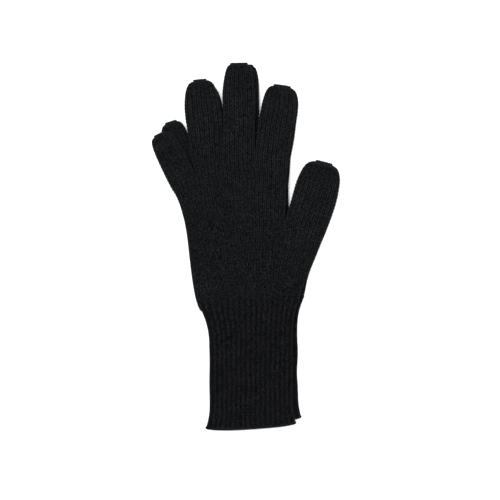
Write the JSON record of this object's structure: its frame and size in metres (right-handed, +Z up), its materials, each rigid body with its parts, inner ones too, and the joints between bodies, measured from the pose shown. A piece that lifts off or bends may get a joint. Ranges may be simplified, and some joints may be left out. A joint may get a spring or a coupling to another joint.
{
  "type": "touchscreen gloves",
  "caption": "Pair of knitted touchscreen gloves lying flat and stacked, with long ribbed cuffs, separate fingers and conductive tips.",
  "frame": {"origin": "on the surface that the pair lies on, under the middle of the pair's box", "axes": "+Y towards the fingertips, +X towards the thumbs, +Z up through the stack"},
  "size_m": [0.1508, 0.2942, 0.0171],
  "materials": {
    "hand_knit": "plain weft knit of soft black yarn, matt with a fine fuzz",
    "conductive_knit": "the same knit in black conductive yarn, very slightly smoother",
    "rib_knit": "one by one rib knit of the same black yarn with elastane in it",
    "seam_yarn": "linking stitches in black yarn"
  },
  "bodies": {
    "left_hand": {"left_hand": "hand_knit"},
    "left_cuff": {"left_cuff": "rib_knit", "left_cuff_hem": "rib_knit"},
    "left_little_finger": {"left_little_finger": "hand_knit", "left_little_tip_seam": "seam_yarn"},
    "left_ring_finger": {"left_ring_finger": "hand_knit", "left_ring_tip_seam": "seam_yarn"},
    "left_middle_finger": {"left_middle_finger": "hand_knit", "left_middle_touch_tip": "conductive_knit", "left_middle_tip_seam": "seam_yarn"},
    "left_index_finger": {"left_index_finger": "hand_knit", "left_index_touch_tip": "conductive_knit", "left_index_tip_seam": "seam_yarn"},
    "left_thumb": {"left_thumb": "hand_knit", "left_thumb_touch_tip": "conductive_knit", "left_thumb_tip_seam": "seam_yarn"},
    "right_hand": {"right_hand": "hand_knit"},
    "right_cuff": {"right_cuff": "rib_knit", "right_cuff_hem": "rib_knit"},
    "right_little_finger": {"right_little_finger": "hand_knit", "right_little_tip_seam": "seam_yarn"},
    "right_ring_finger": {"right_ring_finger": "hand_knit", "right_ring_tip_seam": "seam_yarn"},
    "right_middle_finger": {"right_middle_finger": "hand_knit", "right_middle_touch_tip": "conductive_knit", "right_middle_tip_seam": "seam_yarn"},
    "right_index_finger": {"right_index_finger": "hand_knit", "right_index_touch_tip": "conductive_knit", "right_index_tip_seam": "seam_yarn"},
    "right_thumb": {"right_thumb": "hand_knit", "right_thumb_touch_tip": "conductive_knit", "right_thumb_tip_seam": "seam_yarn"}
  },
  "joints": [
    {"name": "left_wrist_bend", "type": "hinge", "parent": "left_hand", "child": "left_cuff", "pos_m": [0.0077, -0.04468, 0], "axis": [0.9923, 0.1236, 0], "range_deg": [0, 70]},
    {"name": "left_little_finger_bend", "type": "hinge", "parent": "left_hand", "child": "left_little_finger", "pos_m": [-0.04622, 0.05256, 0], "axis": [-0.9558, -0.294, 0], "range_deg": [0, 80]},
    {"name": "left_ring_finger_bend", "type": "hinge", "parent": "left_hand", "child": "left_ring_finger", "pos_m": [-0.02888, 0.07744, 0], "axis": [-0.9921, -0.1253, 0], "range_deg": [0, 80]},
    {"name": "left_middle_finger_bend", "type": "hinge", "parent": "left_hand", "child": "left_middle_finger", "pos_m": [-0.00326, 0.07621, 0], "axis": [-0.9996, 0.0297, 0], "range_deg": [0, 80]},
    {"name": "left_index_finger_bend", "type": "hinge", "parent": "left_hand", "child": "left_index_finger", "pos_m": [0.02288, 0.07248, 0], "axis": [-0.9917, 0.1288, 0], "range_deg": [0, 80]},
    {"name": "left_thumb_bend", "type": "hinge", "parent": "left_hand", "child": "left_thumb", "pos_m": [0.04965, 0.01816, 0], "axis": [-0.9664, 0.2571, 0], "range_deg": [0, 60]},
    {"name": "right_wrist_bend", "type": "hinge", "parent": "right_hand", "child": "right_cuff", "pos_m": [0.0039, -0.04788, 0.0171], "axis": [-0.9936, -0.1132, 0], "range_deg": [0, 70]},
    {"name": "right_little_finger_bend", "type": "hinge", "parent": "right_hand", "child": "right_little_finger", "pos_m": [-0.049, 0.04992, 0.0171], "axis": [0.891, 0.454, 0], "range_deg": [0, 80]},
    {"name": "right_ring_finger_bend", "type": "hinge", "parent": "right_hand", "child": "right_ring_finger", "pos_m": [-0.0314, 0.07462, 0.0171], "axis": [0.9959, 0.0906, 0], "range_deg": [0, 80]},
    {"name": "right_middle_finger_bend", "type": "hinge", "parent": "right_hand", "child": "right_middle_finger", "pos_m": [-0.0058, 0.07312, 0.0171], "axis": [1, 0, 0], "range_deg": [0, 80]},
    {"name": "right_index_finger_bend", "type": "hinge", "parent": "right_hand", "child": "right_index_finger", "pos_m": [0.0203, 0.06912, 0.0171], "axis": [0.9914, -0.1305, 0], "range_deg": [0, 80]},
    {"name": "right_thumb_bend", "type": "hinge", "parent": "right_hand", "child": "right_thumb", "pos_m": [0.0465, 0.01452, 0.0171], "axis": [0.9511, -0.309, 0], "range_deg": [0, 60]},
    {"name": "right_glove_lift", "type": "slide", "parent": "left_hand", "child": "right_hand", "axis": [0, 0, 1], "range_m": [0, 0.12]}
  ]
}
